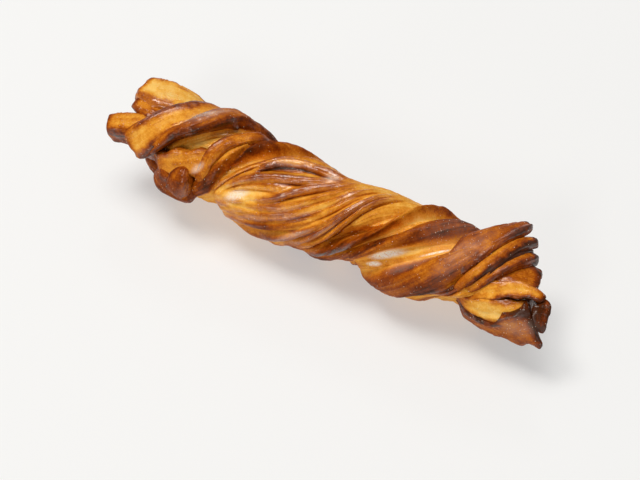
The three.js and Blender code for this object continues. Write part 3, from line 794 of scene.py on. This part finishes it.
def closed_grid(points, first_index):
    """Faces over rows of rings, closed by a middle point at each end."""
    rows, round_count = points.shape[:2]
    index = first_index + np.arange(rows * round_count).reshape(rows, round_count)
    turned = np.roll(index, -1, axis=1)
    quads = np.stack([index[:-1], turned[:-1], turned[1:], index[1:]], axis=-1).reshape(-1, 4)
    start, end = first_index + rows * round_count, first_index + rows * round_count + 1
    faces = quads.tolist()
    for column in range(round_count):
        faces.append((start, turned[0, column], index[0, column]))
        faces.append((end, index[-1, column], turned[-1, column]))
    middles = np.stack([points[0].mean(axis=0), points[-1].mean(axis=0)])
    return faces, middles


def make_piece(name, corners, faces, material):
    """One mesh in the frame of the part, standing for the solid pastry."""
    mesh = bpy.data.meshes.new(name)
    mesh.from_pydata(((corners - MIDDLE) * MM).tolist(), [], faces)
    mesh.materials.append(material)
    piece = bpy.data.objects.new(name, mesh)
    bpy.context.scene.collection.objects.link(piece)
    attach(piece, "root")
    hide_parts("pastry")
    return piece


def make_pastry(surfaces):
    """The whole crust: the twisted body and its loose strips in one mesh."""
    all_points, all_faces, all_grain = [], [], []
    looks = {"browning_and_shade": [], "gloss": [], "sugar": []}
    count = 0
    for points, browning_and_shade, gloss, grain in surfaces:
        faces, middles = closed_grid(points, count)
        all_points += [points.reshape(-1, 3), middles]
        browning_and_shade = MIDDLE_BROWN + BAKE_CONTRAST * (browning_and_shade - MIDDLE_BROWN) + BAKED_LONGER
        brushed = smoothstep(points[..., 2], GLAZE_FROM, GLAZE_FULL)
        gloss = gloss * brushed + spots(GLOSSY_PLACES, points)
        # The sugar look holds real sugar patches and painted sheen
        for kept, value in zip(looks.values(), (browning_and_shade, gloss, spots(SUGAR_AND_SHEEN_PLACES, points))):
            kept += [value.reshape(-1), [value[0].mean(), value[-1].mean()]]
        all_grain += [grain.reshape(-1, 3), grain[0, :1], grain[-1, :1]]
        all_faces += faces
        count += points.shape[0] * points.shape[1] + 2
    crust = make_piece("pastry_crust", np.concatenate(all_points), all_faces, crust_material())
    crust.data.shade_smooth()
    for name, kept in looks.items():
        attribute = crust.data.attributes.new(name, "FLOAT", "POINT")
        attribute.data.foreach_set("value", np.clip(np.concatenate(kept), 0, 1).astype(np.float32))
    attribute = crust.data.attributes.new("grain", "FLOAT_VECTOR", "POINT")
    attribute.data.foreach_set("vector", np.concatenate(all_grain).astype(np.float32).reshape(-1))


def make_sugar(surfaces):
    """Sugar crystals stuck to the glaze, thick in some places and strewn thinly over the rest."""
    random = np.random.default_rng(GRAIN_SEED)
    middles, normals = [], []
    for points, _, _, _ in surfaces:
        along = np.gradient(points, axis=0)
        around = (np.roll(points, -1, axis=1) - np.roll(points, 1, axis=1)) / 2
        normal = np.cross(around, along)
        area = np.linalg.norm(normal, axis=-1)
        normal = normal / np.maximum(area, NO_AREA)[..., None]
        wanted = area * (GRAINS_STREWN + GRAINS_THICK * spots(SUGAR_AND_SHEEN_PLACES, points))
        chosen = random.random(area.shape) < wanted
        middles.append(points[chosen])
        normals.append(normal[chosen])
    middle, normal = np.concatenate(middles), np.concatenate(normals)
    count = len(middle)
    size = random.uniform(*GRAIN_SIZE, (count, 1, 1)) * random.uniform(*GRAIN_SIDES, (count, 1, 3))
    cube = np.array(list(itertools.product((-0.5, 0.5), repeat=3)))
    turned, _ = np.linalg.qr(random.normal(size=(count, 3, 3)))
    corners = (middle + normal * GRAIN_SIZE[0] * GRAIN_OUTWARD)[:, None, :] + (cube * size) @ turned
    sides = np.array([[0, 1, 3, 2], [4, 6, 7, 5], [0, 4, 5, 1], [2, 3, 7, 6], [0, 2, 6, 4], [1, 5, 7, 3]])
    faces = (np.arange(count)[:, None, None] * len(cube) + sides).reshape(-1, 4)
    grains = make_piece("sugar_grains", corners.reshape(-1, 3), faces.tolist(), sugar_material())


def set_inputs(node, values):
    for name, value in values.items():
        node.inputs[name].default_value = value


def crust_material():
    """Baked dough: browner where it stood out in the oven and darker where shade is painted, under a broken
    sugar glaze with pale sugar patches, some of them painted sheen.
    """
    material = bpy.data.materials.new("crust")
    material.use_nodes = True
    nodes, links = material.node_tree.nodes, material.node_tree.links
    shader = nodes["Principled BSDF"]
    place = nodes.new("ShaderNodeTexCoord").outputs["Object"]

    def attribute(name, output="Fac"):
        node = nodes.new("ShaderNodeAttribute")
        node.attribute_name = name
        return node.outputs[output]

    def noise(scale, detail, roughness, where=place):
        node = nodes.new("ShaderNodeTexNoise")
        set_inputs(node, {"Scale": scale, "Detail": detail, "Roughness": roughness})
        links.new(where, node.inputs["Vector"])
        return node.outputs["Fac"]

    def spread(value, low, high, to_low, to_high):
        node = nodes.new("ShaderNodeMapRange")
        set_inputs(node, {"From Min": low, "From Max": high, "To Min": to_low, "To Max": to_high})
        links.new(value, node.inputs["Value"])
        return node.outputs["Result"]

    def combine(operation, first, second):
        node = nodes.new("ShaderNodeMath")
        node.operation = operation
        links.new(first, node.inputs[0])
        links.new(second, node.inputs[1])
        return node.outputs["Value"]

    def bump(height, strength, distance, over=None):
        node = nodes.new("ShaderNodeBump")
        set_inputs(node, {"Strength": strength, "Distance": distance})
        links.new(height, node.inputs["Height"])
        if over:
            links.new(over, node.inputs["Normal"])
        return node.outputs["Normal"]

    blotches = spread(noise(scale=150, detail=3, roughness=0.6), 0.3, 0.7, -0.08, 0.08)
    mottle = spread(noise(scale=420, detail=4, roughness=0.7), 0.3, 0.7, -0.05, 0.09)
    specks = spread(noise(scale=1500, detail=3, roughness=0.7), 0.3, 0.7, -0.08, 0.12)
    fibres = noise(scale=0.9, detail=4, roughness=0.65, where=attribute("grain", "Vector"))
    lines = spread(fibres, 0.3, 0.7, -0.05, 0.05)
    # The bake of the dough together with its painted shade
    baked_and_shaded = attribute("browning_and_shade")
    for change in (blotches, mottle, specks, lines):
        baked_and_shaded = combine("ADD", baked_and_shaded, change)
    ramp = nodes.new("ShaderNodeValToRGB")
    ramp.color_ramp.elements[0].position = BAKE_COLOURS[0][0]
    ramp.color_ramp.elements[1].position = BAKE_COLOURS[-1][0]
    for position, _ in BAKE_COLOURS[1:-1]:
        ramp.color_ramp.elements.new(position)
    for element, (_, colour) in zip(ramp.color_ramp.elements, BAKE_COLOURS):
        element.color = (*colour, 1)
    links.new(baked_and_shaded, ramp.inputs["Fac"])

    crystals = spread(noise(scale=1500, detail=3, roughness=0.7), 0.32, 0.5, 0, 1)
    # Pale sugar film, which in places is painted sheen standing for highlights on the glaze
    film_and_sheen = nodes.new("ShaderNodeMix")
    film_and_sheen.data_type = "RGBA"
    links.new(combine("MULTIPLY", attribute("sugar"), crystals), film_and_sheen.inputs["Factor"])
    links.new(ramp.outputs["Color"], film_and_sheen.inputs["A"])
    film_and_sheen.inputs["B"].default_value = SUGAR_FILM_AND_SHEEN
    links.new(film_and_sheen.outputs["Result"], shader.inputs["Base Color"])

    pores = bump(noise(scale=2200, detail=3, roughness=0.6), strength=0.3, distance=0.0003)
    crumb = bump(noise(scale=480, detail=5, roughness=0.65), strength=0.4, distance=0.0009, over=pores)
    links.new(bump(fibres, strength=0.3, distance=0.0009, over=crumb), shader.inputs["Normal"])

    ripple = bump(noise(scale=650, detail=4, roughness=0.7), strength=0.3, distance=0.0005)
    links.new(ripple, shader.inputs["Coat Normal"])
    broken = spread(noise(scale=700, detail=4, roughness=0.7), 0.36, 0.5, 0.15, 1)
    links.new(combine("MULTIPLY", attribute("gloss"), broken), shader.inputs["Coat Weight"])
    set_inputs(shader, CRUST_SHADING)
    return material


def sugar_material():
    """Pale, slightly cloudy sugar crystals."""
    material = bpy.data.materials.new("sugar")
    material.use_nodes = True
    nodes, links = material.node_tree.nodes, material.node_tree.links
    shader = nodes["Principled BSDF"]
    place = nodes.new("ShaderNodeTexCoord")
    cloud = nodes.new("ShaderNodeTexNoise")
    cloud.inputs["Scale"].default_value = SUGAR_CLOUDS
    links.new(place.outputs["Object"], cloud.inputs["Vector"])
    tint = nodes.new("ShaderNodeMix")
    tint.data_type = "RGBA"
    links.new(cloud.outputs["Fac"], tint.inputs["Factor"])
    tint.inputs["A"].default_value, tint.inputs["B"].default_value = SUGAR_TINTS
    links.new(tint.outputs["Result"], shader.inputs["Base Color"])
    shader.inputs["Roughness"].default_value = SUGAR_ROUGHNESS
    return material


def make_floor():
    """A plain pale floor."""
    bpy.ops.mesh.primitive_plane_add(size=FLOOR_SIZE)
    floor = bpy.context.object
    floor.name = "floor"
    paper = bpy.data.materials.new("floor_paper")
    paper.use_nodes = True
    set_inputs(paper.node_tree.nodes["Principled BSDF"], FLOOR_SHADING)
    floor.data.materials.append(paper)


def make_lights():
    """Soft studio light from round lamps that face the pastry, and a little from all round."""
    world = bpy.data.worlds.new("studio")
    world.use_nodes = True
    set_inputs(world.node_tree.nodes["Background"], SURROUNDINGS)
    bpy.context.scene.world = world
    for name, place, size, power in LIGHTS:
        light = bpy.data.lights.new(name, "AREA")
        light.shape = "DISK"
        light.size = size
        light.energy = power
        light.color = LIGHT_COLOUR
        lamp = bpy.data.objects.new(name, light)
        lamp.location = place
        lamp.rotation_mode = "QUATERNION"
        lamp.rotation_quaternion = (-Vector(place)).to_track_quat("-Z", "Y")
        bpy.context.scene.collection.objects.link(lamp)


def make_camera():
    """The camera, which looks down on the twist from the front right."""
    scene = bpy.context.scene
    target = Vector((-MIDDLE[0] * MM, -MIDDLE[1] * MM, AXIS_HEIGHT * MM))
    azimuth, elevation = math.radians(CAMERA_AZIMUTH), math.radians(CAMERA_ELEVATION)
    back = Vector((
        math.sin(azimuth) * math.cos(elevation),
        -math.cos(azimuth) * math.cos(elevation),
        math.sin(elevation),
    ))
    right = Vector((math.cos(azimuth), math.sin(azimuth), 0))
    up = back.cross(right)
    aim = target + right * AIM_RIGHT - up * AIM_DOWN
    camera = bpy.data.objects.new("camera", bpy.data.cameras.new("camera"))
    camera.data.sensor_width = CAMERA_SENSOR
    camera.data.lens = CAMERA_LENS
    camera.location = target + back * CAMERA_DISTANCE
    camera.rotation_mode = "QUATERNION"
    camera.rotation_quaternion = (aim - camera.location).to_track_quat("-Z", "Y")
    scene.collection.objects.link(camera)
    scene.camera = camera
    scene.view_settings.view_transform = "Standard"


surfaces = [body_surface()] + [strip_surface(**strip) for strip in STRIPS.values()]
rest_on_table(surfaces)
make_pastry(surfaces)
make_sugar(surfaces)
make_floor()
make_lights()
make_camera()
